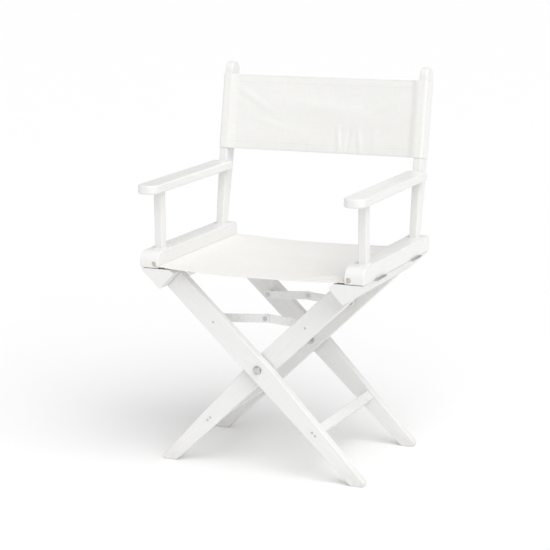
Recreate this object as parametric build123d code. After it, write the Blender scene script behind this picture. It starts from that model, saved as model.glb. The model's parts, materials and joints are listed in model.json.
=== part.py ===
from build123d import *
import os
from math import cos, radians, sin

# Folding director chair, in millimetres. +X is to the right of a viewer who faces the chair,
# +Y is towards the back of the chair and +Z is up. The origin is on the floor, under the
# centre of the chair's bounding box.

# ---- driving dimensions -------------------------------------------------------------------
SIDE_Y = -23.3  # middle of the side rails, measured from the origin

# side panels
PANEL_X = 245.0  # centre plane of a rail and its posts
RAIL_LENGTH = 408.0
RAIL_WIDTH = 45.0
RAIL_BOTTOM = 460.0
RAIL_HEIGHT = 36.0
RAIL_FRONT_RADIUS = 24.0
RAIL_REAR_RADIUS = 12.0
POST_THICKNESS = 19.0
FRONT_POST_DEPTH = 22.0
FRONT_POST_Y = -145.0  # from the middle of the rail
BACK_POST_Y = 167.0  # centre of the back post where it meets the rail
BACK_POST_FOOT = 26.0
BACK_POST_WIDTH = 42.0
BACK_POST_TAPER = 150.0  # length over which the post widens, up from the rail
BACK_POST_LENGTH = 387.0  # along the rake, up from the rail
RAKE = 11.6  # degrees that the back posts lean back
ARM_BOTTOM = 626.0
ARM_THICKNESS = 20.0
ARM_WIDTH = 50.0
ARM_OVERHANG = 59.0  # ahead of the front post
ARM_END_RADIUS = 22.0
ARM_LAP = 10.0  # how far the arm's notch reaches along the back post

# leg frames
TILT = 46.7  # degrees of each leg from upright, chair open
FOLD = 40.0  # degrees that each frame turns on the pivot bolts, open to folded
LEG_WIDTH = 49.0
LEG_THICKNESS = 20.0
FOOT_WIDTH = 29.0
TAPER_START = -30.0  # along the leg, measured up from the pivot
TAPER_RADIUS = 300.0
FOOT_TOE_RADIUS = 8.0
FOOT_HEEL_RADIUS = 5.0
FRAME_A_SPAN = 316.0  # between the outer faces of frame A's legs, less one thickness
SLAB_GAP = 2.0  # between the two crossing legs
BAR_GAP = 1.0  # under the side rail
BAR_DEPTH = 66.0  # along the leg
STRETCHER_ALONG = -188.0  # up the leg from the pivot, and across it
STRETCHER_ACROSS = -5.0
STRETCHER_HEIGHT = 22.0
STRETCHER_WIDTH = 25.0

# braces
BRACE_ALONG = 146.0  # leg pins, up the leg from the pivot
BRACE_ARCH = 4.0  # degrees that each link rises to the centre
BRACE_HEIGHT = 19.0
LINK_LAYER_A = (23.5, 27.0)  # the two links, inwards from the gap between the legs
LINK_LAYER_B = (27.5, 31.0)

# canvas
CANVAS = 1.8
SEAT_SAG = 4.5
BACK_CANVAS_START = 179.5  # along the back post, up from the rail
BACK_CANVAS_HEIGHT = 176.0
SLEEVE_WALL = 1.4
SLEEVE_GAP = 0.4  # between a sleeve and its post
CENTRE_GAP = 0.2  # from the middle plane to the end of each half canvas
POCKET_WALL = 1.5
STICK_RADIUS = 3.2
CHANNEL_RADIUS = 5.3
CHANNEL_INSET = 10.0  # from the rail's inner face
CHANNEL_LIFT = 9.5  # above the rail's bottom

# hardware
PIN_CLEARANCE = 0.05
PIVOT_BOLT_RADIUS = 4.0
BRACE_PIN_RADIUS = 3.0
HINGE_PIN_RADIUS = 1.5
KNUCKLE_RADIUS = 3.0
KNUCKLE_OFFSET = 3.5  # hinge axis, outboard of the rail's outer face
LEAF = 1.6
LEAF_WIDTH = 24.0
HINGE_LENGTH = 50.0
HINGE_YS = (-110.0, 110.0)
SCREW_HEAD = 3.2
SCREW_SHANK = 1.6
SCREW_PLAY = 0.06
LEAF_SCREW = 10.0  # lengths of the screws
STRETCHER_SCREW = 45.0
ARM_SCREW = 60.0
STRETCHER_SCREW_SPREAD = 5.0  # either side of the stretcher's middle
LEAF_SCREW_SPREAD = 17.0
LEAF_SCREW_INSETS = (14.0, 19.0, 14.0)  # from the rail's outer face
LEAF_LIP = 0.3  # how far a leaf stands out beyond the rail
LEAF_GAP = 0.1  # from the hinge's middle plane to each leaf
RECESS_PLAY = 0.05
KNUCKLE_GAP = 0.2
PIN_HEAD_RADIUS = 2.4
RIVET_HEAD = 5.5
RIVET_HEAD_DEPTH = 1.5
PIVOT_HEAD_RADIUS = 8.5
PIVOT_HEAD_DEPTH = 3.6
WASHER_RADIUS = 10.0
WASHER = 1.2
NUT_RADIUS = 7.5  # to the corners
NUT_DEPTH = 6.0

# wood joints
LEG_TENON = 10.0  # length, then half its width, then the shoulder on each side
LEG_TENON_HALF = 9.0
LEG_TENON_SHOULDER = 5.0
POST_TENON = 14.0
POST_TENON_HALF_X = 4.5
POST_TENON_HALF_Y = 6.5
TENON_PLAY = 0.1
LEG_EASE = 2.0  # rounding of the edges
ARM_EASE = 4.0
POST_EASE = 3.0

# ---- worked-out dimensions ----------------------------------------------------------------
LEAN = radians(TILT)
RAKE_RAD = radians(RAKE)
OUTER_X = PANEL_X + RAIL_WIDTH / 2
INNER_X = PANEL_X - RAIL_WIDTH / 2
RAIL_TOP = RAIL_BOTTOM + RAIL_HEIGHT
BAR_TOP = RAIL_BOTTOM - BAR_GAP
HALF_LEG = LEG_WIDTH / 2
# distance along the leg from the pivot to the top outer corner of the seat bar
CORNER_ALONG = (OUTER_X - HALF_LEG * cos(LEAN)) / sin(LEAN)
PIVOT_Z = BAR_TOP + HALF_LEG * sin(LEAN) - CORNER_ALONG * cos(LEAN)
BAR_ALONG = CORNER_ALONG - BAR_DEPTH
HINGE_X = OUTER_X + KNUCKLE_OFFSET
HINGE_Z = RAIL_BOTTOM - BAR_GAP / 2
LEG_PLANE = FRAME_A_SPAN / 2 - LEG_THICKNESS / 2 - SLAB_GAP / 2  # gap between the crossing legs
BRACE_LINK = BRACE_ALONG * sin(LEAN) / cos(radians(BRACE_ARCH))
SEAT_HINGE_X = INNER_X - 1.6
SEAT_HINGE_Z = RAIL_BOTTOM + 4.2
WEB_END = SEAT_HINGE_X + 1.3
BACK_HINGE_X = PANEL_X - POST_THICKNESS / 2 - SLEEVE_GAP - SLEEVE_WALL - 0.6


def box(x0, x1, y0, y1, z0, z1):
    return Pos((x0 + x1) / 2, (y0 + y1) / 2, (z0 + z1) / 2) * Box(x1 - x0, y1 - y0, z1 - z0)


def rod(radius, start, end):
    """Round bar between two points."""
    start, end = Vector(*start), Vector(*end)
    length = (end - start).length
    plane = Plane(origin=start, z_dir=end - start)
    return plane * Cylinder(radius, length, align=(Align.CENTER, Align.CENTER, Align.MIN))


def prism_y(points, radii, y0, y1):
    """Outline in X and Z with rounded corners, drawn out from y0 to y1."""
    outline = FilletPolyline(*[(x, y0, z) for x, z in points], radius=radii, close=True)
    return extrude(make_face(outline), amount=y1 - y0, dir=(0, 1, 0))


def prism_x(points, radii, x0, x1):
    """Outline in Y and Z with rounded corners, drawn out from x0 to x1."""
    outline = FilletPolyline(*[(x0, y, z) for y, z in points], radius=radii, close=True)
    return extrude(make_face(outline), amount=x1 - x0, dir=(1, 0, 0))


def eased(shape, radius):
    """The shape with all its edges rounded."""
    return fillet(shape.edges(), radius)


def on_leg(side, along, across):
    """X and Z of a point on a leg. side is -1 for frame A, whose top is at -X, and 1 for B."""
    x = side * (along * sin(LEAN) - across * cos(LEAN))
    return x, PIVOT_Z + along * cos(LEAN) + across * sin(LEAN)


def along_at(height, across):
    """Distance along the leg at which a line of constant across reaches a height."""
    return (height - PIVOT_Z - across * sin(LEAN)) / cos(LEAN)


def screw(point, direction, length, head=SCREW_HEAD, shank=SCREW_SHANK, clearance=0.0):
    """Flat-headed screw whose head is flush at the point, going in along the direction."""
    start = Vector(*point)
    way = Vector(*direction).normalized()
    plane = Plane(origin=start, z_dir=way)
    depth = head - shank
    low = (Align.CENTER, Align.CENTER, Align.MIN)
    body = plane * Cylinder(shank + clearance, length + clearance, align=low)
    body += plane * Cone(head + clearance, shank + clearance, depth, align=low)
    return body


def drilled(shape, screws):
    """The shape with holes for the screws, given as argument lists of screw()."""
    for arguments in screws:
        shape -= screw(*arguments, clearance=SCREW_PLAY)
    return shape


# ---- leg frames ---------------------------------------------------------------------------
def slab(end, inward0, inward1):
    """Y limits of a layer at one crossing. end is -1 at the front and 1 at the rear, and the
    layer is measured inwards from the middle of the gap between the two legs."""
    y = [SIDE_Y + end * (LEG_PLANE - inward) for inward in (inward0, inward1)]
    return min(y), max(y)


def leg_slab(side, end):
    near = SLAB_GAP / 2
    if side < 0:
        return slab(end, -near - LEG_THICKNESS, -near)
    return slab(end, near, near + LEG_THICKNESS)


def leg_outline(side):
    toe = FOOT_WIDTH - HALF_LEG
    places = [(BAR_ALONG, -HALF_LEG), (BAR_ALONG, HALF_LEG), (TAPER_START, HALF_LEG),
              (along_at(0, toe), toe), (along_at(0, -HALF_LEG), -HALF_LEG)]
    return [on_leg(side, along, across) for along, across in places]


def tenon(side, end, play):
    """Tongue on a leg's top that goes into the seat bar."""
    y0, y1 = leg_slab(side, end)
    low, high, half = BAR_ALONG - 1, BAR_ALONG + LEG_TENON + play, LEG_TENON_HALF + play
    places = [(low, -half), (high, -half), (high, half), (low, half)]
    points = [on_leg(side, along, across) for along, across in places]
    return prism_y(points, 0, y0 + LEG_TENON_SHOULDER - play, y1 - LEG_TENON_SHOULDER + play)


def stretcher_screws(side, end):
    """Screws through a leg's outer face into the end of the stretcher."""
    y0, y1 = leg_slab(side, end)
    outer, way = (y0, 1) if end < 0 else (y1, -1)
    for spread in (-STRETCHER_SCREW_SPREAD, STRETCHER_SCREW_SPREAD):
        x, z = on_leg(side, STRETCHER_ALONG + spread, STRETCHER_ACROSS)
        yield (x, outer, z), (0, way, 0), STRETCHER_SCREW


def leg(side, end):
    y0, y1 = leg_slab(side, end)
    radii = [0, 0, TAPER_RADIUS, FOOT_TOE_RADIUS, FOOT_HEEL_RADIUS]
    shape = eased(prism_y(leg_outline(side), radii, y0, y1), LEG_EASE)
    shape += tenon(side, end, 0)
    shape -= rod(PIVOT_BOLT_RADIUS + PIN_CLEARANCE, (0, y0 - 1, PIVOT_Z), (0, y1 + 1, PIVOT_Z))
    x, z = on_leg(side, BRACE_ALONG, 0)
    shape -= rod(BRACE_PIN_RADIUS, (x, y0 - 1, z), (x, y1 + 1, z))
    return drilled(shape, stretcher_screws(side, end))


def stretcher(side):
    y0 = leg_slab(side, -1)[1]
    y1 = leg_slab(side, 1)[0]
    a, c = STRETCHER_HEIGHT / 2, STRETCHER_WIDTH / 2
    corners = [(-a, -c), (a, -c), (a, c), (-a, c)]
    points = [on_leg(side, STRETCHER_ALONG + da, STRETCHER_ACROSS + dc) for da, dc in corners]
    shape = prism_y(points, 2.5, y0, y1)
    return drilled(shape, [*stretcher_screws(side, -1), *stretcher_screws(side, 1)])


def seat_bar(side):
    places = [(BAR_ALONG, -HALF_LEG), (BAR_ALONG, HALF_LEG),
              (along_at(BAR_TOP, HALF_LEG), HALF_LEG), (CORNER_ALONG, -HALF_LEG)]
    points = [on_leg(side, along, across) for along, across in places]
    half = RAIL_LENGTH / 2
    shape = prism_y(points, 2.5, SIDE_Y - half, SIDE_Y + half)
    for end in (-1, 1):
        shape -= tenon(side, end, TENON_PLAY)
    for y in HINGE_YS:
        shape -= leaf_recess(side, y, -1)
    return drilled(shape, leaf_screws(side, -1))


# ---- hinges between the side rails and the seat bars --------------------------------------
def leaf_z(level):
    """Z limits of a leaf. level is 1 for the rail's leaf and -1 for the bar's."""
    z = [HINGE_Z + level * LEAF_GAP, HINGE_Z + level * (LEAF_GAP + LEAF)]
    return min(z), max(z)


def leaf_recess(side, y, level):
    """Shallow seat for a hinge leaf, a little larger than the leaf."""
    z0, z1 = leaf_z(level)
    play, half = RECESS_PLAY, HINGE_LENGTH / 2
    x = sorted((side * (OUTER_X + 1), side * (OUTER_X + LEAF_LIP - LEAF_WIDTH - play)))
    return box(*x, SIDE_Y + y - half - play, SIDE_Y + y + half + play, z0 - play, z1 + play)


def leaf_screws(side, level):
    """Screws of all the leaves on one rail or bar."""
    z0, z1 = leaf_z(level)
    face = z0 if level > 0 else z1
    for y in HINGE_YS:
        for place, inset in zip((-1, 0, 1), LEAF_SCREW_INSETS):
            middle = SIDE_Y + y + place * LEAF_SCREW_SPREAD
            yield (side * (OUTER_X - inset), middle, face), (0, 0, level), LEAF_SCREW


def knuckles(y, level):
    """Y limits of a leaf's knuckles: the rail's leaf has one, between the bar's two."""
    start, step, gap = SIDE_Y + y - HINGE_LENGTH / 2, HINGE_LENGTH / 3, KNUCKLE_GAP
    if level > 0:
        return [(start + step + gap, start + 2 * step - gap)]
    return [(start, start + step - gap), (start + 2 * step + gap, start + HINGE_LENGTH)]


def hinge_leaf(side, y, level):
    z0, z1 = leaf_z(level)
    axis = side * HINGE_X
    half = HINGE_LENGTH / 2
    root = HINGE_X - KNUCKLE_RADIUS + 0.8
    x = sorted((side * root, side * (OUTER_X + LEAF_LIP - LEAF_WIDTH)))
    shape = box(*x, SIDE_Y + y - half, SIDE_Y + y + half, z0, z1)
    for y0, y1 in knuckles(y, -level):
        room = (axis, y0 - KNUCKLE_GAP, HINGE_Z), (axis, y1 + KNUCKLE_GAP, HINGE_Z)
        shape -= rod(KNUCKLE_RADIUS + 2 * KNUCKLE_GAP, *room)
    for y0, y1 in knuckles(y, level):
        shape += rod(KNUCKLE_RADIUS, (axis, y0, HINGE_Z), (axis, y1, HINGE_Z))
    bore = (axis, SIDE_Y + y - half - 1, HINGE_Z), (axis, SIDE_Y + y + half + 1, HINGE_Z)
    shape -= rod(HINGE_PIN_RADIUS + PIN_CLEARANCE, *bore)
    return drilled(shape, leaf_screws(side, level))


def hinge_pin(side, y):
    """Pin with a small domed head at its front end."""
    axis, half = side * HINGE_X, HINGE_LENGTH / 2
    front, rear = SIDE_Y + y - half, SIDE_Y + y + half
    shape = rod(HINGE_PIN_RADIUS, (axis, front - 0.5, HINGE_Z), (axis, rear + 1, HINGE_Z))
    head = rod(PIN_HEAD_RADIUS, (axis, front - 1.8, HINGE_Z), (axis, front - 0.1, HINGE_Z))
    return shape + eased(head, 0.5)


# ---- side panels --------------------------------------------------------------------------
def rake_place(along, across=0.0):
    """Y and Z of a point on the back post: along the post from the rail, across it backwards."""
    y = SIDE_Y + BACK_POST_Y + along * sin(RAKE_RAD) + across * cos(RAKE_RAD)
    return y, RAIL_TOP + along * cos(RAKE_RAD) - across * sin(RAKE_RAD)


def post_tenon(y, z, level, play):
    """Tongue that goes up, with level 1, or down into the next piece from height z."""
    z0, z1 = sorted((z - level, z + level * (POST_TENON + play)))
    half_x, half_y = POST_TENON_HALF_X + play, POST_TENON_HALF_Y + play
    return box(-PANEL_X - half_x, -PANEL_X + half_x, y - half_y, y + half_y, z0, z1)


def front_post():
    y = SIDE_Y + FRONT_POST_Y
    half_x, half_y = POST_THICKNESS / 2, FRONT_POST_DEPTH / 2
    shape = box(-PANEL_X - half_x, -PANEL_X + half_x, y - half_y, y + half_y, RAIL_TOP, ARM_BOTTOM)
    shape = fillet(shape.edges().filter_by(Axis.Z), 2.5)
    return shape + post_tenon(y, ARM_BOTTOM, 1, 0) + post_tenon(y, RAIL_TOP, -1, 0)


def back_post_blank(play=0.0):
    half, foot = BACK_POST_WIDTH / 2 + play, BACK_POST_FOOT / 2 + play
    low = -20.0
    spots = [(low, -foot), (0, -foot), (BACK_POST_TAPER, -half), (BACK_POST_LENGTH + play, -half),
             (BACK_POST_LENGTH + play, half), (BACK_POST_TAPER, half), (0, foot), (low, foot)]
    radii = [0, 0, 200, half - 0.2, half - 0.2, 200, 0, 0]
    half_x = POST_THICKNESS / 2 + play
    points = [rake_place(along, across) for along, across in spots]
    return prism_x(points, radii, -PANEL_X - half_x, -PANEL_X + half_x)


def arm_screw():
    """Screw through the back post into the end of the arm."""
    along = (ARM_BOTTOM + ARM_THICKNESS / 2 - RAIL_TOP) / cos(RAKE_RAD)
    y, z = rake_place(along, BACK_POST_WIDTH / 2 - 0.4)
    yield (-PANEL_X, y, z), (0, -cos(RAKE_RAD), sin(RAKE_RAD)), ARM_SCREW


def back_post():
    blank = eased(back_post_blank(), POST_EASE)
    shape = blank - box(-PANEL_X - 50, -PANEL_X + 50, -500, 500, 0, RAIL_TOP)
    shape += post_tenon(SIDE_Y + BACK_POST_Y, RAIL_TOP, -1, 0)
    return drilled(shape, arm_screw())


def arm():
    y0 = SIDE_Y + FRONT_POST_Y - FRONT_POST_DEPTH / 2 - ARM_OVERHANG
    along = (ARM_BOTTOM - RAIL_TOP) / cos(RAKE_RAD)
    y1 = rake_place(along, -BACK_POST_WIDTH / 2)[0] + ARM_LAP
    half, z = ARM_WIDTH / 2, ARM_BOTTOM
    corners = [(-PANEL_X - half, y0, z), (-PANEL_X + half, y0, z),
               (-PANEL_X + half, y1, z), (-PANEL_X - half, y1, z)]
    radii = [ARM_END_RADIUS, ARM_END_RADIUS, 6, 6]
    outline = FilletPolyline(*corners, radius=radii, close=True)
    shape = eased(extrude(make_face(outline), amount=ARM_THICKNESS, dir=(0, 0, 1)), ARM_EASE)
    shape -= back_post_blank(0.02)
    shape -= post_tenon(SIDE_Y + FRONT_POST_Y, ARM_BOTTOM, 1, TENON_PLAY)
    return drilled(shape, arm_screw())


def channel_place():
    return -INNER_X - CHANNEL_INSET, RAIL_BOTTOM + CHANNEL_LIFT


def hem_web(play):
    """Flat stretch of canvas from the stick's channel out to the rail's inner face."""
    x, z = channel_place()
    half = CANVAS / 2 + play
    top, low = SEAT_HINGE_Z + half, SEAT_HINGE_Z - half
    depth = RAIL_LENGTH / 2 + (play and 5)
    end = -WEB_END + (play and 5)
    return box(x, end, SIDE_Y - depth, SIDE_Y + depth, low, top)


def side_rail():
    half, x = RAIL_LENGTH / 2, -PANEL_X
    front, rear = SIDE_Y - half, SIDE_Y + half
    points = [(front, RAIL_BOTTOM), (rear, RAIL_BOTTOM), (rear, RAIL_TOP), (front, RAIL_TOP)]
    radii = [3, 3, RAIL_REAR_RADIUS, RAIL_FRONT_RADIUS]
    shape = eased(prism_x(points, radii, x - RAIL_WIDTH / 2, x + RAIL_WIDTH / 2), LEG_EASE)
    cx, cz = channel_place()
    shape -= rod(CHANNEL_RADIUS, (cx, front - 5, cz), (cx, rear + 5, cz))
    shape -= hem_web(0.5)
    shape -= post_tenon(SIDE_Y + FRONT_POST_Y, RAIL_TOP, -1, TENON_PLAY)
    shape -= post_tenon(SIDE_Y + BACK_POST_Y, RAIL_TOP, -1, TENON_PLAY)
    for y in HINGE_YS:
        shape -= leaf_recess(-1, y, 1)
    return drilled(shape, leaf_screws(-1, 1))


# ---- canvas -------------------------------------------------------------------------------
def seat_stick():
    cx, cz = channel_place()
    half = RAIL_LENGTH / 2 - 1
    return eased(rod(STICK_RADIUS, (cx, SIDE_Y - half, cz), (cx, SIDE_Y + half, cz)), 0.6)


def seat_hem():
    """Pocket of canvas round the stick, with the web that leaves it through the slot."""
    cx, cz = channel_place()
    half = RAIL_LENGTH / 2
    ends = (cx, SIDE_Y - half, cz), (cx, SIDE_Y + half, cz)
    room = (cx, SIDE_Y - half - 1, cz), (cx, SIDE_Y + half + 1, cz)
    inner = STICK_RADIUS + 0.2
    return rod(inner + POCKET_WALL, *ends) + hem_web(0) - rod(inner, *room)


def seat_half():
    """Left half of the seat, from the rail down to its end just short of the middle plane."""
    x0, x1 = -SEAT_HINGE_X + 0.3, -CENTRE_GAP
    z0, z1, half = SEAT_HINGE_Z, SEAT_HINGE_Z - SEAT_SAG, CANVAS / 2
    points = [(x0, z0 - half), (x1, z1 - half), (x1, z1 + half), (x0, z0 + half)]
    return prism_y(points, 0, SIDE_Y - RAIL_LENGTH / 2, SIDE_Y + RAIL_LENGTH / 2)


def back_canvas_box(x0, x1, across0, across1, along0, along1, radius=0.0):
    """Block that leans with the back posts. It is drawn out across the canvas's height."""
    base = Plane(origin=(0, *rake_place(along0)), x_dir=(1, 0, 0),
                 z_dir=(0, sin(RAKE_RAD), cos(RAKE_RAD)))
    corners = [(x0, across0), (x1, across0), (x1, across1), (x0, across1)]
    outline = FilletPolyline(*corners, radius=radius, close=True)
    return base * extrude(make_face(outline), amount=along1 - along0)


def back_sleeve():
    """Tube of canvas round the back post, open at both ends."""
    start, end = BACK_CANVAS_START, BACK_CANVAS_START + BACK_CANVAS_HEIGHT
    inner_x, inner_y = POST_THICKNESS / 2 + SLEEVE_GAP, BACK_POST_WIDTH / 2 + SLEEVE_GAP
    outer_x, outer_y = inner_x + SLEEVE_WALL, inner_y + SLEEVE_WALL
    shape = back_canvas_box(-PANEL_X - outer_x, -PANEL_X + outer_x, -outer_y, outer_y,
                            start, end, 4.4)
    return shape - back_canvas_box(-PANEL_X - inner_x, -PANEL_X + inner_x, -inner_y, inner_y,
                                   start - 1, end + 1, 3.0)


def back_half():
    """Left half of the back, in the plane of the sleeves' front walls."""
    front = -BACK_POST_WIDTH / 2 - SLEEVE_GAP - SLEEVE_WALL
    return back_canvas_box(-BACK_HINGE_X + 0.2, -CENTRE_GAP, front, front + SLEEVE_WALL,
                           BACK_CANVAS_START, BACK_CANVAS_START + BACK_CANVAS_HEIGHT)


# ---- pivots and braces --------------------------------------------------------------------
def pivot_rod(end, radius, inward0, inward1, x=0.0, z=PIVOT_Z):
    """Round bar across one crossing, between two depths measured as in slab()."""
    y0, y1 = slab(end, inward0, inward1)
    return rod(radius, (x, y0, z), (x, y1, z))


def pivot_bolt(end):
    outer = -SLAB_GAP / 2 - LEG_THICKNESS
    under = outer - 1.6
    head = eased(pivot_rod(end, PIVOT_HEAD_RADIUS, under - PIVOT_HEAD_DEPTH, under), 1.5)
    return head + pivot_rod(end, PIVOT_BOLT_RADIUS, under - 0.4, NUT_DEPTH + 2 - outer)


def pivot_washers():
    """At each crossing: one under the head, one between the legs and one under the nut."""
    near = SLAB_GAP / 2 + LEG_THICKNESS + 0.3
    layers = (-near - WASHER, -near), (-WASHER / 2, WASHER / 2), (near, near + WASHER)
    for end in (-1, 1):
        for inward0, inward1 in layers:
            ring = pivot_rod(end, WASHER_RADIUS, inward0, inward1)
            yield ring - pivot_rod(end, PIVOT_BOLT_RADIUS + 0.2, inward0 - 1, inward1 + 1)


def pivot_nuts():
    outer = SLAB_GAP / 2 + LEG_THICKNESS
    for end in (-1, 1):
        y0, y1 = slab(end, outer + 1.6, outer + 1.6 + NUT_DEPTH)
        face = Plane(origin=(0, y0, PIVOT_Z), z_dir=(0, 1, 0)) * RegularPolygon(NUT_RADIUS, 6)
        nut = extrude(face, amount=y1 - y0, dir=(0, 1, 0))
        yield nut - pivot_rod(end, PIVOT_BOLT_RADIUS + 0.02, outer, outer + 9)


def link_layer(side):
    return LINK_LAYER_A if side < 0 else LINK_LAYER_B


def brace_ends(side):
    """X and Z of a link's leg pin and of its centre rivet."""
    x, z = on_leg(side, BRACE_ALONG, 0)
    return (x, z), (0.0, z + BRACE_LINK * sin(radians(BRACE_ARCH)))


def brace_link(side, end):
    pin, centre = brace_ends(side)
    near, far = link_layer(side)
    half = BRACE_HEIGHT / 2
    y0, y1 = slab(end, near, far)
    arch = side * radians(BRACE_ARCH)
    rise = (half * sin(arch), half * cos(arch))
    points = [(pin[0] - rise[0], pin[1] - rise[1]), (centre[0] - rise[0], centre[1] - rise[1]),
              (centre[0] + rise[0], centre[1] + rise[1]), (pin[0] + rise[0], pin[1] + rise[1])]
    shape = prism_y(points, 0, y0, y1)
    for x, z in (pin, centre):
        shape += pivot_rod(end, half, near, far, x, z)
    shape = fillet(shape.edges().filter_by(GeomType.LINE).filter_by(Axis.Y, reverse=True), 0.6)
    for (x, z), play in ((pin, PIN_CLEARANCE), (centre, 0.0)):
        shape -= pivot_rod(end, BRACE_PIN_RADIUS + play, near - 1, far + 1, x, z)
    return shape


def brace_pins(side):
    """Pins riveted through the legs, with a spacer out to the link and a head beyond it."""
    near, far = link_layer(side)
    face, leg_face = SLAB_GAP / 2, SLAB_GAP / 2 + LEG_THICKNESS
    if side < 0:
        face, leg_face = -SLAB_GAP / 2 - LEG_THICKNESS, -SLAB_GAP / 2
    (x, z), _ = brace_ends(side)
    for end in (-1, 1):
        shape = pivot_rod(end, BRACE_PIN_RADIUS, face, far + 0.5, x, z)
        shape += pivot_rod(end, RIVET_HEAD, leg_face, near - 0.2, x, z)
        head = pivot_rod(end, RIVET_HEAD, far + 0.2, far + 0.2 + RIVET_HEAD_DEPTH, x, z)
        yield shape + head


def brace_rivets(side):
    """Half of each centre rivet: its shank in this link, and its head."""
    near, far = link_layer(side)
    _, (x, z) = brace_ends(side)
    head = (near - RIVET_HEAD_DEPTH, near) if side < 0 else (far, far + RIVET_HEAD_DEPTH)
    for end in (-1, 1):
        shank = pivot_rod(end, BRACE_PIN_RADIUS, near, far, x, z)
        yield shank + pivot_rod(end, RIVET_HEAD, *head, x, z)


# ---- all the nodes ------------------------------------------------------------------------
def mirrored(shape):
    return mirror(shape, about=Plane.YZ)


def group(shapes):
    return Compound(children=list(shapes))


def screws(arguments):
    return group(screw(*one) for one in arguments)


def frame_nodes():
    for side, letter in ((-1, "a"), (1, "b")):
        for end, place in ((-1, "front"), (1, "rear")):
            yield f"leg_{letter}_{place}", leg(side, end)
            yield f"brace_link_{letter}_{place}", brace_link(side, end)
        yield f"stretcher_{letter}", stretcher(side)
        yield f"seat_bar_{letter}", seat_bar(side)
        ends = [*stretcher_screws(side, -1), *stretcher_screws(side, 1)]
        yield f"stretcher_screws_{letter}", screws(ends)
        yield f"bar_hinge_leaves_{letter}", group(hinge_leaf(side, y, -1) for y in HINGE_YS)
        yield f"bar_hinge_screws_{letter}", screws(leaf_screws(side, -1))
        yield f"hinge_pins_{letter}", group(hinge_pin(side, y) for y in HINGE_YS)
        yield f"brace_pins_{letter}", group(brace_pins(side))
        yield f"brace_rivets_{letter}", group(brace_rivets(side))


def panel_nodes():
    pieces = {
        "side_rail": side_rail(), "front_post": front_post(),
        "back_post": back_post(), "arm": arm(),
        "rail_hinge_leaves": group(hinge_leaf(-1, y, 1) for y in HINGE_YS),
        "rail_hinge_screws": screws(leaf_screws(-1, 1)), "arm_screw": screws(arm_screw()),
        "seat_stick": seat_stick(), "seat_hem": seat_hem(), "seat_canvas": seat_half(),
        "back_sleeve": back_sleeve(), "back_canvas": back_half(),
    }
    for name, shape in pieces.items():
        yield f"{name}_left", shape
        yield f"{name}_right", mirrored(shape)


def pivot_nodes():
    yield "pivot_bolt_front", pivot_bolt(-1)
    yield "pivot_bolt_rear", pivot_bolt(1)
    yield "pivot_washers", group(pivot_washers())
    yield "pivot_nuts", group(pivot_nuts())


def main():
    os.makedirs("parts", exist_ok=True)
    for nodes in (frame_nodes(), panel_nodes(), pivot_nodes()):
        for name, shape in nodes:
            export_step(shape, f"parts/{name}.step")


main()
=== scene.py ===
"""Looks of the folding director chair: lacquered wood, zinc and enamelled hardware, and a sewn
canvas seat and back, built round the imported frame. Metres, +Z up, -Y to the front."""
import json
import math

import bpy
import numpy as np
from mathutils import Matrix, Vector


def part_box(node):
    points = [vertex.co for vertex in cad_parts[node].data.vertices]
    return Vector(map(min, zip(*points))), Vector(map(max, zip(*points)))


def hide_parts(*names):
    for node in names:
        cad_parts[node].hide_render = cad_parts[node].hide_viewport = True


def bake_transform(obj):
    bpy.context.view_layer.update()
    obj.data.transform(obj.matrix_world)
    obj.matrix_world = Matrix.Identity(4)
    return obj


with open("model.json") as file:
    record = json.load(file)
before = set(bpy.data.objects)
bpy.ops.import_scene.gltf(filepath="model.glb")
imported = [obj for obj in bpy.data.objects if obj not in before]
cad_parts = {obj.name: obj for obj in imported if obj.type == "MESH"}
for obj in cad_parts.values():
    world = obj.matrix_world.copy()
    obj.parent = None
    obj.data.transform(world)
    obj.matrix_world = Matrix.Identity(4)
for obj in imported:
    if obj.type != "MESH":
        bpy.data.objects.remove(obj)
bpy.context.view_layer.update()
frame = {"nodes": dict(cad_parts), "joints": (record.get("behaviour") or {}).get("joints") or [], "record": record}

# ---- cloth and thread, in metres ----------------------------------------------------------
PLY = 0.001  # one layer of canvas
WEAVE = 0.0013  # period of the weave
LAP = 0.006  # how far the turned-back layer of a pocket or sleeve runs past its seam
LAYER_GAP = 0.0001  # between two layers that lie on each other
HEM = 0.020  # width of the double-folded hems
HEM_EXTRA = 0.0013  # how much a hem stands out on the wrong side
HEM_STEP = 0.0012  # width over which a hem's edge falls away
HEM_STOP = 0.001  # from a hem's end to the turned-back layer
HEM_FADE = 0.004  # length over which the hem runs out there
GRID = 0.0022  # spacing of the cloth meshes
GUARD = 0.00005  # a second row of points, this close to a cut end, so that it shades sharply
RIPPLE_FADE = 0.020  # width beside a rail or post over which ripples die away
PUCKER = 0.00022  # height of the gathers along a seam
PUCKER_REACH = 0.009  # how far from the seam they spread

SEAT_SAG = 0.005  # in the middle
SEAT_SEAM = 0.0065  # from the rail's inner face to the seam of the stick's pocket
STICK_GAP = 0.0002  # between the stick and its pocket
CAD_CANVAS = 0.0018  # thickness of the CAD's seat canvas

BACK_BILLOW = 0.004  # how far the middle of the back bows to the rear
SLEEVE_SEAM = 0.0075  # from the post's inner face to the seam of the sleeve
SLEEVE_DIP = 0.0046  # the panel lies this far behind the front of its sleeves
SLEEVE_SLOPE = 0.019  # and climbs to it from this far before the post's inner face
SLEEVE_CREST = 0.003  # to this far past it
SLEEVE_CORNER = 0.0036  # radius of the sleeve's corners
SLEEVE_GAP = 0.0004  # between the post and its sleeve
SLEEVE_BACK_PLY = 1.08 * PLY  # the turned-back layer lies this far behind the panel
CAD_SLEEVE = 0.0014  # thickness of the CAD's sleeve
CAD_SLEEVE_TO_POST = 0.0018  # from that sleeve's outer face to the post's face

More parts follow.
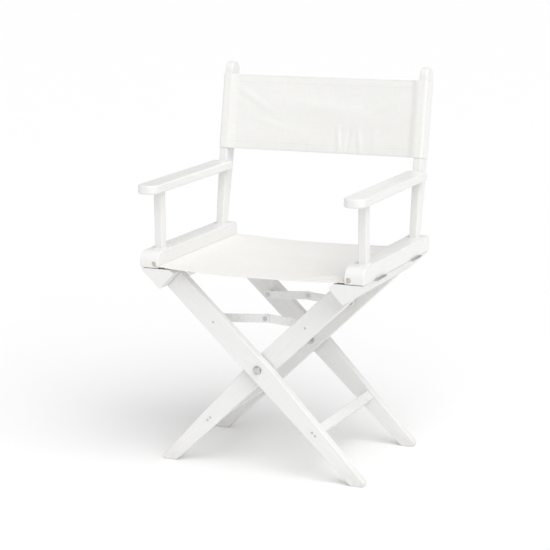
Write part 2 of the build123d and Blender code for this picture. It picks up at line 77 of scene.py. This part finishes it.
THREAD = 0.00036  # radius
STITCH = 0.0034  # length of a stitch
STITCH_GAP = 0.0008  # least gap between two stitches
HEM_ROWS = (0.0026, HEM - 0.0022)  # stitch rows, in from a hemmed edge
HEM_ROW_ENDS = (0.0004, 0.002)  # from the middle of the chair, and from the seam, to their ends
SEAM_ROWS = (0, -0.0042)  # stitch rows of a pocket or sleeve, at its seam and towards the middle
SEAM_ROW_INSET = 0.0015  # from the cloth's edges to their ends

# soft folds: place (x, v), half width and half length, lean in radians, height
SEAT_CREASES = (
    ((-0.165, 0.060), (0.012, 0.050), 0.9, 0.0009),
    ((0.170, 0.055), (0.011, 0.055), -0.95, 0.0011),
    ((-0.160, 0.345), (0.013, 0.050), -0.8, 0.0008),
    ((0.150, 0.350), (0.012, 0.045), 0.85, 0.0008),
    ((0.060, 0.190), (0.018, 0.090), 1.35, 0.0005),
    ((-0.070, 0.240), (0.016, 0.080), 1.8, 0.0005),
)
BACK_CREASES = (
    ((0.045, 0.030), (0.0070, 0.030), 0.10, 0.0014),
    ((0.070, 0.036), (0.0060, 0.034), -0.12, -0.0010),
    ((0.098, 0.028), (0.0080, 0.027), 0.16, 0.0012),
    ((0.135, 0.040), (0.0090, 0.030), -0.05, 0.0007),
    ((-0.175, 0.120), (0.0110, 0.050), 1.05, 0.0009),
    ((0.180, 0.125), (0.0110, 0.050), -1.10, 0.0010),
    ((-0.120, 0.060), (0.0120, 0.050), 1.30, 0.0006),
    ((0.020, 0.105), (0.0150, 0.070), 1.45, 0.0007),
)

joints = {j["name"]: j for j in frame["joints"]}


# ---- materials ----------------------------------------------------------------------------
class Shader:
    """A material with a Principled shader and short names for adding nodes."""

    def __init__(self, name, colour, roughness, **sockets):
        self.material = bpy.data.materials.new(name)
        self.material.use_nodes = True
        self.tree = self.material.node_tree
        self.bsdf = self.tree.nodes["Principled BSDF"]
        self.set(self.bsdf, **{"Base Color": (*colour, 1), "Roughness": roughness, **sockets})

    def set(self, node, **values):
        for name, value in values.items():
            node.inputs[name].default_value = value

    def node(self, kind, properties=None, **values):
        made = self.tree.nodes.new(kind)
        for name, value in (properties or {}).items():
            setattr(made, name, value)
        self.set(made, **values)
        return made

    def link(self, source, target):
        self.tree.links.new(source, target)

    def noise(self, vector, scale, detail=3.0, roughness=0.5):
        made = self.node("ShaderNodeTexNoise", Scale=scale, Detail=detail, Roughness=roughness)
        self.link(vector, made.inputs["Vector"])
        return made.outputs["Fac"]

    def split(self, vector):
        """The outputs X, Y and Z of a vector."""
        made = self.node("ShaderNodeSeparateXYZ")
        self.link(vector, made.inputs[0])
        return made.outputs

    def mapped(self, vector, rotation=(0, 0, 0), scale=(1, 1, 1)):
        """Coordinates turned first and then scaled."""
        turn = self.node("ShaderNodeMapping", Rotation=rotation)
        stretch = self.node("ShaderNodeMapping", Scale=scale)
        self.link(vector, turn.inputs["Vector"])
        self.link(turn.outputs[0], stretch.inputs["Vector"])
        return stretch.outputs[0]

    def range(self, value, low, high, to_low, to_high):
        made = self.node("ShaderNodeMapRange")
        for socket, number in zip(made.inputs[1:5], (low, high, to_low, to_high)):
            socket.default_value = number
        self.link(value, made.inputs[0])
        return made.outputs[0]

    def math(self, operation, first, second):
        made = self.node("ShaderNodeMath", {"operation": operation})
        for socket, value in zip(made.inputs, (first, second)):
            if isinstance(value, (int, float)):
                socket.default_value = value
            else:
                self.link(value, socket)
        return made.outputs[0]

    def mix(self, factor, first, second):
        made = self.node("ShaderNodeMix", {"data_type": "RGBA"})
        self.link(factor, made.inputs[0])
        for socket, colour in zip(made.inputs[6:8], (first, second)):
            if isinstance(colour, tuple):
                socket.default_value = (*colour, 1)
            else:
                self.link(colour, socket)
        return made.outputs[2]

    def bump(self, height, distance, strength=1.0, normal=None):
        made = self.node("ShaderNodeBump", Distance=distance, Strength=strength)
        self.link(height, made.inputs["Height"])
        if normal:
            self.link(normal, made.inputs["Normal"])
        return made.outputs[0]

    def finish(self, colour=None, roughness=None, normal=None):
        for name, value in (("Base Color", colour), ("Roughness", roughness), ("Normal", normal)):
            if value:
                self.link(value, self.bsdf.inputs[name])
        return self.material

    def place(self):
        return self.node("ShaderNodeTexCoord").outputs["Object"]


def lacquered_wood(name, rotation):
    """White satin lacquer over hardwood. rotation turns the grain's direction on to X."""
    s = Shader(name, (0.86, 0.86, 0.85), 0.34, **{"Coat Weight": 0.25, "Coat Roughness": 0.22})
    place = s.place()
    streaks = s.noise(s.mapped(place, rotation, (6, 150, 150)), 3.0, 5.0, 0.6)
    pores = s.noise(s.mapped(place, rotation, (40, 900, 900)), 1.0, 2.0)
    cloudy = s.noise(place, 9.0, 2.0)
    peel = s.noise(place, 700.0, 1.0)
    tint = s.mix(s.range(streaks, 0.35, 0.7, 0, 1), (0.85, 0.848, 0.838), (0.80, 0.797, 0.78))
    low = s.range(s.split(place)["Z"], 0.0, 0.05, 0.55, 0)  # scuffs, on the lowest 50 mm
    scuffed = s.math("MULTIPLY", low, s.noise(place, 60.0, 4.0))
    colour = s.mix(scuffed, tint, (0.55, 0.52, 0.47))
    rough = s.math("ADD", s.range(cloudy, 0.3, 0.7, 0.26, 0.40), s.range(pores, 0.4, 0.7, 0, 0.06))
    grain = s.bump(streaks, 0.0004, 0.25)
    grain = s.bump(pores, 0.00012, 0.35, grain)
    return s.finish(colour, rough, s.bump(peel, 0.00003, 0.3, grain))


def bare_wood():
    """The sticks' wood, with the grain along Y."""
    s = Shader("bare_dowel", (0.6, 0.42, 0.24), 0.6)
    place = s.place()
    streaks = s.noise(s.mapped(place, scale=(160, 5, 160)), 3.0, 6.0, 0.65)
    rings = s.noise(s.mapped(place, scale=(500, 20, 500)), 1.0, 3.0)
    colour = s.mix(s.range(streaks, 0.3, 0.7, 0, 1), (0.74, 0.6, 0.42), (0.56, 0.42, 0.27))
    rough = s.range(rings, 0.3, 0.7, 0.5, 0.72)
    return s.finish(colour, rough, s.bump(streaks, 0.0003, 0.5))


def zinc_steel():
    """Zinc-plated hinges, bolts and screws, cloudy and finely scratched."""
    s = Shader("zinc_steel", (0.62, 0.63, 0.64), 0.32, Metallic=1.0)
    place = s.place()
    bloom = s.noise(place, 120.0, 4.0, 0.6)
    scratches = s.noise(s.mapped(place, (0, 0.6, 0.4), (30, 2500, 2500)), 1.0, 2.0)
    colour = s.mix(s.range(bloom, 0.35, 0.7, 0, 1), (0.66, 0.67, 0.68), (0.5, 0.51, 0.53))
    rough = s.math("ADD", s.range(bloom, 0.3, 0.7, 0.25, 0.42),
                   s.range(scratches, 0.4, 0.7, 0, 0.1))
    return s.finish(colour, rough, s.bump(scratches, 0.00005, 0.4))


def enamel():
    """White enamel on the braces, with a few chips that show the steel."""
    s = Shader("brace_enamel", (0.85, 0.85, 0.84), 0.28, **{"Coat Weight": 0.3})
    place = s.place()
    chips = s.range(s.noise(place, 210.0, 4.0, 0.7), 0.72, 0.74, 0, 1)
    flow = s.noise(place, 160.0, 2.0)
    colour = s.mix(chips, (0.86, 0.86, 0.85), (0.35, 0.34, 0.33))
    rough = s.math("ADD", s.range(flow, 0.3, 0.7, 0.22, 0.34), s.math("MULTIPLY", chips, 0.25))
    return s.finish(colour, rough, s.bump(flow, 0.00015, 0.3))


def canvas(name, white):
    """Plain-weave cotton duck. Its coordinates are the cloth's own, in metres."""
    s = Shader(name, white, 0.9, **{"Sheen Weight": 0.25, "Sheen Roughness": 0.5})
    cloth = s.node("ShaderNodeUVMap", {"uv_map": "cloth"}).outputs[0]
    across_and_along = s.split(cloth)
    per_metre = 2 * math.pi / WEAVE
    waves = [s.math("SINE", s.math("MULTIPLY", across_and_along[k], per_metre), 0)
             for k in (0, 1)]
    weave = s.math("MULTIPLY", *waves)
    warp = s.noise(s.mapped(cloth, scale=(1400, 30, 1)), 1.0, 2.0)
    weft = s.noise(s.mapped(cloth, scale=(30, 1400, 1)), 1.0, 2.0)
    yarns = s.math("ADD", warp, weft)
    slubs = s.range(s.noise(s.mapped(cloth, scale=(40, 600, 1)), 1.0, 2.0), 0.66, 0.8, 0, 1)
    cloudy = s.noise(s.mapped(cloth, scale=(14, 14, 1)), 1.0, 3.0)
    specks = s.range(s.noise(s.mapped(cloth, scale=(420, 420, 1)), 1.0, 1.0), 0.76, 0.8, 0, 1)
    darker = tuple(c * k for c, k in zip(white, (0.93, 0.925, 0.905)))
    colour = s.mix(s.range(yarns, 0.75, 1.25, 0, 1), darker, white)
    colour = s.mix(s.range(cloudy, 0.35, 0.75, 0, 0.3), colour, darker)
    colour = s.mix(s.math("MULTIPLY", specks, 0.35), colour, (0.5, 0.42, 0.3))
    height = s.math("ADD", s.math("MULTIPLY", weave, 0.5), s.math("MULTIPLY", yarns, 0.9))
    height = s.math("ADD", height, slubs)
    rough = s.range(yarns, 0.7, 1.3, 0.95, 0.82)
    return s.finish(colour, rough, s.bump(height, 0.00022, 0.6))


def thread():
    """Slightly darker cotton thread, twisted."""
    s = Shader("thread", (0.80, 0.78, 0.73), 0.7, **{"Sheen Weight": 0.2})
    place = s.place()
    twist = s.noise(s.mapped(place, (0.5, 0.5, 0.5), (900, 5000, 900)), 1.0, 2.0)
    colour = s.mix(twist, (0.84, 0.82, 0.77), (0.68, 0.66, 0.6))
    rough = s.range(twist, 0.3, 0.7, 0.6, 0.8)
    return s.finish(colour, rough, s.bump(twist, 0.0001, 0.6))


def floor_paint():
    s = Shader("studio_floor", (0.95, 0.95, 0.95), 0.85)
    return s.finish(roughness=s.range(s.noise(s.place(), 5.0), 0.3, 0.7, 0.8, 0.9))


def dress_nodes():
    """Gives every hard CAD node its material, with the grain along the piece."""
    upright = (0, math.pi / 2, 0)
    fore_and_aft = (0, 0, -math.pi / 2)
    lean = math.atan2(*leg_run())
    wood = {  # by a part of the node's name, and the last for every other wooden piece
        "leg_a": lacquered_wood("lacquer_leg_a", (0, math.pi / 2 + lean, 0)),
        "leg_b": lacquered_wood("lacquer_leg_b", (0, math.pi / 2 - lean, 0)),
        "post": lacquered_wood("lacquer_post", upright),
        "": lacquered_wood("lacquer_rail", fore_and_aft),
    }
    by_slot = {"steel": zinc_steel(), "brace_steel": enamel(), "bare_wood": bare_wood()}
    slots = {p["node"]: p["material_slot"] for p in frame["record"]["subparts"]}
    for name, piece in frame["nodes"].items():
        slot = slots[name]
        if slot == "canvas":
            continue
        dress = by_slot.get(slot) or next(m for key, m in wood.items() if key in name)
        for holder in piece.material_slots:
            holder.material = dress


def leg_run():
    """Across and up from a foot to the top of the same leg."""
    low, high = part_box("leg_a_front")
    return high[0] - low[0], high[2] - low[2]


# ---- cloth --------------------------------------------------------------------------------
def smooth(value, low, high):
    """0 up to low, 1 from high on, and a smooth rise between them."""
    t = np.clip((value - low) / (high - low), 0, 1)
    return t * t * (3 - 2 * t)


def arc(centre, radius, start, stop, count):
    """Points on a circle, between two angles in degrees."""
    angles = np.radians(np.linspace(start, stop, count))
    return [(centre[0] + radius * math.cos(a), centre[1] + radius * math.sin(a)) for a in angles]


def resampled(points):
    """The same line with evenly spaced points and a close pair at each end, and its length up to
    each of them."""
    points = np.array(points)
    run = np.concatenate([[0], np.cumsum(np.linalg.norm(np.diff(points, axis=0), axis=1))])
    even = np.linspace(0, run[-1], int(run[-1] / GRID) + 2)
    at = np.concatenate([[0, GUARD], even[1:-1], [run[-1] - GUARD, run[-1]]])
    return np.stack([np.interp(at, run, points[:, k]) for k in (0, 1)], 1), at


def edge_spaced(length, radius):
    """Places across a cloth, edge to edge: even, and close together at both rounded edges."""
    ends = radius * np.array([0, 0.1, 0.35, 0.7])
    inside = np.linspace(radius, length - radius, int(length / GRID))
    return np.concatenate([ends, inside, length - ends[::-1]])


class Cloth:
    """A sheet that follows a line in one plane and is drawn out square to that plane.

    origin, out, depth and up are vectors: a point of the line is origin + out*a + depth*b, and
    the sheet runs from there along up for its width. out points from the chair's middle to the
    side, and depth is the way that the right side of the cloth faces. The line is the panel's,
    from the middle out to reach, and then the turned-back part's, which ends LAP past the seam.
    ripple(x, v) moves the cloth along depth, and dies away towards reach."""

    def __init__(self, name, side, frame_of, width, seam, panel, turned, ripple):
        self.name, self.side, self.width, self.seam = name, side, width, seam
        self.origin, self.depth, self.up = (np.array(v, float) for v in frame_of)
        self.out = np.array([side, 0.0, 0.0])
        self.panel, self.line, self.ripple = np.array(panel), panel + turned, ripple
        self.reach = panel[-1][0]

    def shape(self, points, v, lift):
        """Places of the line's points at one or more v, moved by lift along the cloth's face."""
        a, b = points[:, 0], points[:, 1]
        tangent = np.gradient(points, axis=0)
        tangent /= np.linalg.norm(tangent, axis=1)[:, None]
        normal = np.stack([-tangent[:, 1], tangent[:, 0]], 1)
        loose = 1 - smooth(a, self.reach - RIPPLE_FADE, self.reach)
        out = a[:, None] + normal[:, :1] * lift
        deep = b[:, None] + normal[:, 1:] * lift
        deep = deep + loose[:, None] * self.ripple(self.side * a[:, None], v[None, :])
        return (self.origin + out[..., None] * self.out + deep[..., None] * self.depth
                + v[None, :, None] * self.up)

    def hem(self, a, v):
        """How much the hems add on the wrong side. They end where the turned-back layer starts."""
        end = self.seam - LAP - HEM_STOP
        across = 1 - smooth(np.minimum(v, self.width - v), HEM - HEM_STEP, HEM)
        return HEM_EXTRA * across * (1 - smooth(a, end - HEM_FADE, end))

    def build(self, material):
        """The sheet as a closed mesh: its front, its back and the edges all round."""
        points, run = resampled(self.line)
        v = edge_spaced(self.width, PLY)
        edge = np.clip(np.minimum(v, self.width - v) / PLY, 0, 1)
        rounding = np.sqrt(1 - (1 - edge) ** 2)[None, :]
        front = PLY / 2 * rounding * np.ones((len(run), 1))
        back = front + self.hem(points[:, :1], v[None, :]) * rounding
        faces = self.shape(points, v, front), self.shape(points, v, -back)
        rows, columns = len(run), len(v)
        corners = np.concatenate([face.reshape(-1, 3) for face in faces])
        index = np.arange(rows * columns).reshape(rows, columns)
        rear = index + rows * columns

        def quads(a, b, c, d):
            return np.stack([a.ravel(), b.ravel(), c.ravel(), d.ravel()], 1)

        polygons = [quads(index[:-1, :-1], index[:-1, 1:], index[1:, 1:], index[1:, :-1]),
                    quads(rear[:-1, :-1], rear[1:, :-1], rear[1:, 1:], rear[:-1, 1:])]
        for line, flip in ((0, True), (-1, False)):
            a, b = (index[line, :-1], index[line, 1:]), (rear[line, 1:], rear[line, :-1])
            polygons.append(quads(*a, *b)[:, ::-1] if flip else quads(*a, *b))
            a, b = (index[:-1, line], index[1:, line]), (rear[1:, line], rear[:-1, line])
            polygons.append(quads(*a, *b) if flip else quads(*a, *b)[:, ::-1])
        polygons = np.concatenate(polygons)
        if self.winding() < 0:
            polygons = polygons[:, ::-1]
        cloth = np.stack(np.meshgrid(self.side * run, v, indexing="ij"), -1).reshape(-1, 2)
        return mesh_piece(self.name, corners, polygons, material, np.concatenate([cloth, cloth]))

    def winding(self):
        """1 where rows, then columns, turn the right way round for the front, else -1."""
        return 1 if np.dot(np.cross(self.up, self.out), self.depth) > 0 else -1

    def on_face(self, a, v, front=True):
        """A point on the panel's face, and the way that the face looks."""
        step = 1e-4  # to the neighbours that give the slope
        points = np.array([[x, np.interp(x, *self.panel.T)] for x in (a, a + step)])
        lift = PLY / 2 if front else -PLY / 2 - self.hem(a, v)
        spots = self.shape(points, np.array([v, v + step]), lift)
        facing = np.cross(spots[1, 0] - spots[0, 0], spots[0, 1] - spots[0, 0])
        facing *= np.sign(np.dot(facing, self.depth)) / np.linalg.norm(facing)
        return spots[0, 0], facing if front else -facing


def mesh_piece(name, corners, polygons, material, cloth=None):
    """A smooth-shaded piece. cloth holds each corner's place on the flat cloth."""
    mesh = bpy.data.meshes.new(name)
    mesh.from_pydata(np.array(corners).tolist(), [], [list(map(int, p)) for p in polygons])
    mesh.polygons.foreach_set("use_smooth", [True] * len(mesh.polygons))
    if cloth is not None:
        layer = mesh.uv_layers.new(name="cloth")
        loops = np.empty(len(mesh.loops), int)
        mesh.loops.foreach_get("vertex_index", loops)
        layer.data.foreach_set("uv", cloth[loops].ravel())
    mesh.materials.append(material)
    piece = bpy.data.objects.new(name, mesh)
    bpy.context.scene.collection.objects.link(piece)
    return piece


def stitched(name, cloth, rows, material):
    """Rows of stitches on both faces. A row is (from, to), each (a, v) on the main panel."""
    corners, polygons = [], []
    rise = (0.0, 0.35, 0.75, 1.0, 0.75, 0.35, 0.0)  # of a stitch out of the cloth, end to end
    sides = 6  # of the thread's section
    step = 0.0003  # to the point ahead that gives the thread's direction
    for start, stop in rows:
        start, stop = np.array(start), np.array(stop)
        length = np.linalg.norm(stop - start)
        count = int(length / (STITCH + STITCH_GAP))
        along = (stop - start) / length
        for k in range(count):
            for front in (True, False):
                shift = (k + (0 if front else 0.5)) * length / count
                first = start + along * shift
                ring_start = len(corners)
                for i, up in enumerate(rise):
                    t = i / (len(rise) - 1)
                    spot, facing = cloth.on_face(*(first + along * STITCH * t), front)
                    ahead, _ = cloth.on_face(*(first + along * (STITCH * t + step)), front)
                    way = (ahead - spot) / np.linalg.norm(ahead - spot)
                    across = np.cross(way, facing)
                    radius = THREAD * (0.35 + 0.65 * math.sqrt(up))
                    middle = spot + facing * THREAD * (1.1 * up - 0.5)
                    for side in range(sides):
                        angle = 2 * math.pi * side / sides
                        corners.append(middle + radius * (math.cos(angle) * across
                                                          + math.sin(angle) * facing))
                for i in range(len(rise) - 1):
                    for side in range(sides):
                        a = ring_start + i * sides + side
                        b = ring_start + i * sides + (side + 1) % sides
                        polygons.append((a, b, b + sides, a + sides))
                last = ring_start + (len(rise) - 1) * sides
                polygons.append(tuple(range(ring_start + sides - 1, ring_start - 1, -1)))
                polygons.append(tuple(range(last, last + sides)))
    return mesh_piece(name, corners, polygons, material)


def crease(x, v, place, size, lean, depth):
    """Soft fold at place, with a half width and a half length, leaning from the v direction."""
    c, s = math.cos(lean), math.sin(lean)
    across = ((x - place[0]) * c + (v - place[1]) * s) / size[0]
    along = (-(x - place[0]) * s + (v - place[1]) * c) / size[1]
    return depth * (1 - across ** 2) * np.exp(-(across ** 2) - along ** 2)


def puckers(x, v, seam, phase):
    """Small gathers that a row of stitches pulls into the cloth on both sides of a seam, in two
    trains of waves, 10 and 16 mm apart."""
    waves = np.sin(v * 620 + phase) + 0.6 * np.sin(v * 391 + 2 * phase)
    return PUCKER * waves * np.exp(-np.abs(np.abs(x) - seam) / PUCKER_REACH)


def edge_curl(v, width, height, reach):
    """How far the two free edges of a panel curl back: height at the edge, and less inwards."""
    return -height * np.exp(-(np.minimum(v, width - v) / reach))


# ---- seat ---------------------------------------------------------------------------------
def seat_cloth(side, word):
    """Half the seat: out into the rail's channel, round the stick there, and back under itself."""
    low, high = (np.array(corner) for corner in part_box(f"seat_canvas_{word}"))
    rail_low, rail_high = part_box(f"side_rail_{word}")
    stick_low, stick_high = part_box(f"seat_stick_{word}")
    face = min(abs(rail_low[0]), abs(rail_high[0]))
    level = high[2] - CAD_CANVAS / 2
    stick = abs(stick_low[0] + stick_high[0]) / 2, (stick_low[2] + stick_high[2]) / 2 - level
    loop = (stick_high[2] - stick_low[2]) / 2 + STICK_GAP + PLY / 2
    ply, seam, width = PLY / 2, face - SEAT_SEAM, high[1] - low[1]
    panel = [(a, ply - SEAT_SAG * (1 - (a / face) ** 2)) for a in np.linspace(0, face, 60)]
    to_stick, from_stick = stick[0] - 0.0045, stick[0] - 0.0022  # turns up, and is back
    turned = [(face + 0.002, ply), (to_stick, ply + STICK_GAP)]
    # from under the stick's inboard side up, over its top and round until it is under it again
    turned += arc(stick, loop, -110, -435, 40)
    turned += [(from_stick, -ply), (face, -ply - LAYER_GAP)]
    under = [(a, b) for a, b in panel[::-1] if seam - LAP < a < face - 0.001]
    turned += [(a, b - PLY - LAYER_GAP) for a, b in under]

    def ripple(x, v):
        slack = 1 - (x / face) ** 2
        pulled = 0.0006 * np.sin(v * 47 + 0.8 * np.sin(x * 21)) * slack
        curl = edge_curl(v, width, 0.0016, 0.03) * slack
        folds = sum(crease(x, v, *each) for each in SEAT_CREASES)
        return pulled + curl + folds + puckers(x, v, seam, 1.7)

    frame_of = (0, low[1], level), (0, 0, 1), (0, 1, 0)
    return Cloth(f"seat_cloth_{word}", side, frame_of, width, seam, panel, turned, ripple)


# ---- back ---------------------------------------------------------------------------------
def back_cloth(side, word):
    """Half the back: out to the post, round it, and back behind itself to the seam."""
    hinge = joints[f"back_{word}_bend"]
    up = np.array(hinge["axis"])
    up *= np.sign(up[2]) / np.linalg.norm(up)
    forward = np.array([0.0, -up[2], up[1]])
    post_low, post_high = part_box(f"back_post_{word}")
    sleeve_low, sleeve_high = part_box(f"back_sleeve_{word}")
    x0, x1 = sorted((abs(post_low[0]), abs(post_high[0])))
    width = (sleeve_high[2] - sleeve_low[2] - depth_of_sleeve(word) * up[1]) / up[2]
    front = depth_of_sleeve(word) / 2
    origin = np.array(hinge["pos_m"]) * (0, 1, 1) - forward * (front - CAD_SLEEVE / 2)
    gap, turn = SLEEVE_GAP + PLY / 2, SLEEVE_CORNER
    post = front - CAD_SLEEVE_TO_POST
    face, rear = post + gap, -post - gap
    outer, inner, seam = x1 + gap, x0 - gap, x0 - SLEEVE_SEAM

    def depth_at(a):
        flat = face - SLEEVE_DIP - BACK_BILLOW * max(0, 1 - (a / (x0 - SLEEVE_SLOPE)) ** 2)
        return flat + SLEEVE_DIP * float(smooth(a, x0 - SLEEVE_SLOPE, x0 + SLEEVE_CREST))

    panel = [(a, depth_at(a)) for a in np.linspace(0, x0, 110)]
    near, flat_from = x0 + 0.002, x0 + 0.004  # the last point of the climb, the first on the post
    turned = [(near, depth_at(near)), (flat_from, face)]
    turned += arc((outer - turn, face - turn), turn, 90, 0, 8)
    turned += arc((outer - turn, rear + turn), turn, 0, -90, 8)
    turned += arc((inner + turn, rear + turn), turn, -90, -180, 8)
    turned += [(inner, depth_at(inner) - 0.0042)]  # where it leaves the post's inner side
    lap = np.linspace(inner - 0.0016, seam - LAP, 6)
    turned += [(a, depth_at(a) - SLEEVE_BACK_PLY) for a in lap]

    def ripple(x, v):
        slack = 1 - (np.abs(x) / x0) ** 4
        pulled = 0.0005 * np.sin(v * 74 + np.sin(x * 17) + 0.6) * slack
        curl = edge_curl(v, width, 0.0012, 0.02) * slack
        folds = sum(crease(x, v, *each) for each in BACK_CREASES)
        return pulled + folds + curl + puckers(x, v, seam, 0.4)

    frame_of = origin, forward, up
    return Cloth(f"back_cloth_{word}", side, frame_of, width, seam, panel, turned, ripple)


def depth_of_sleeve(word):
    """Front to back of the sleeve, square to the post, from its slanting box."""
    hinge = joints[f"back_{word}_bend"]
    low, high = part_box(f"back_sleeve_{word}")
    rise, run = abs(hinge["axis"][2]), abs(hinge["axis"][1])
    tall, deep = high[2] - low[2], high[1] - low[1]
    return (deep * rise - tall * run) / (rise ** 2 - run ** 2)


# ---- cloth pieces -------------------------------------------------------------------------
def make_cloths():
    """Seat and back, each in two halves that meet in the middle, with their stitching."""
    cotton = thread()
    kinds = (
        ("seat", seat_cloth, canvas("seat_canvas", (0.895, 0.884, 0.864)), "seat_hem",
         ("seat_stick", "side_rail")),
        ("back", back_cloth, canvas("back_canvas", (0.885, 0.884, 0.874)), "back_sleeve",
         ("back_post",)),
    )
    for side, word in ((-1, "left"), (1, "right")):
        for part, make, dress, edge_node, holders in kinds:
            cloth = make(side, word)
            piece = cloth.build(dress)
            edge, seam = cloth.width, cloth.seam
            rows = [((HEM_ROW_ENDS[0], v), (seam - HEM_ROW_ENDS[1], v))
                    for inset in HEM_ROWS for v in (inset, edge - inset)]
            rows += [((seam + k, SEAM_ROW_INSET), (seam + k, edge - SEAM_ROW_INSET))
                     for k in SEAM_ROWS]
            sewing = stitched(f"{part}_stitching_{word}", cloth, rows, cotton)
            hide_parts(f"{part}_canvas_{word}", f"{edge_node}_{word}")
            for each in (piece, sewing):
                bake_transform(each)


# ---- camera, floor and light ----------------------------------------------------------------
def add_camera():
    """At the chair's right front, looking down on it a little, with a long lens."""
    turn, fall, roll = (math.radians(a) for a in (24.56, 12.32, -0.74))
    aim = Vector((-0.0415, 0, 0.4137))  # in the middle of the picture
    distance, focal, sensor = 4.249, 121.55, 36.0  # metres, and millimetres for the lens
    level_ahead = Vector((-math.sin(turn), math.cos(turn), 0))
    ahead = level_ahead * math.cos(fall) - Vector((0, 0, math.sin(fall)))
    right = Vector((math.cos(turn), math.sin(turn), 0))
    above = right.cross(ahead)
    level = right * math.cos(roll) + above * math.sin(roll)
    over = above * math.cos(roll) - right * math.sin(roll)
    data = bpy.data.cameras.new("camera")
    data.lens, data.sensor_width, data.clip_end = focal, sensor, 100
    camera = bpy.data.objects.new("camera", data)
    columns = Matrix((level, over, -ahead)).transposed().to_4x4()
    camera.matrix_world = Matrix.Translation(aim - ahead * distance) @ columns
    bpy.context.scene.collection.objects.link(camera)
    bpy.context.scene.camera = camera


def add_floor():
    """A plain pale floor that reaches far past the picture."""
    mesh = bpy.data.meshes.new("floor")
    half = 30.0
    corners = [(x * half, y * half, 0) for x, y in ((-1, -1), (1, -1), (1, 1), (-1, 1))]
    mesh.from_pydata(corners, [], [(0, 1, 2, 3)])
    mesh.materials.append(floor_paint())
    floor = bpy.data.objects.new("floor", mesh)
    bpy.context.scene.collection.objects.link(floor)


def add_studio():
    """An even white surround, brighter where the camera sees it directly, and one broad soft key
    from the right front."""
    as_light, as_seen = 0.56, 0.97  # strengths of the surround
    energy, softness = 2.05, math.radians(60)
    direction = Vector((-0.47, 0.40, -0.79))
    world = bpy.data.worlds.new("studio")
    world.use_nodes = True
    tree = world.node_tree
    surround = tree.nodes["Background"]
    surround.inputs["Color"].default_value = (1, 1, 1, 1)
    seen = tree.nodes.new("ShaderNodeLightPath").outputs["Is Camera Ray"]
    strength = tree.nodes.new("ShaderNodeMapRange")
    for socket, number in zip(strength.inputs[1:5], (0, 1, as_light, as_seen)):
        socket.default_value = number
    tree.links.new(seen, strength.inputs[0])
    tree.links.new(strength.outputs[0], surround.inputs["Strength"])
    bpy.context.scene.world = world
    data = bpy.data.lights.new("key", "SUN")
    data.energy, data.angle = energy, softness
    key = bpy.data.objects.new("key", data)
    key.rotation_euler = direction.to_track_quat("-Z", "Y").to_euler()
    bpy.context.scene.collection.objects.link(key)
    bpy.context.scene.view_settings.view_transform = "Standard"


add_camera()
dress_nodes()
make_cloths()
add_floor()
add_studio()
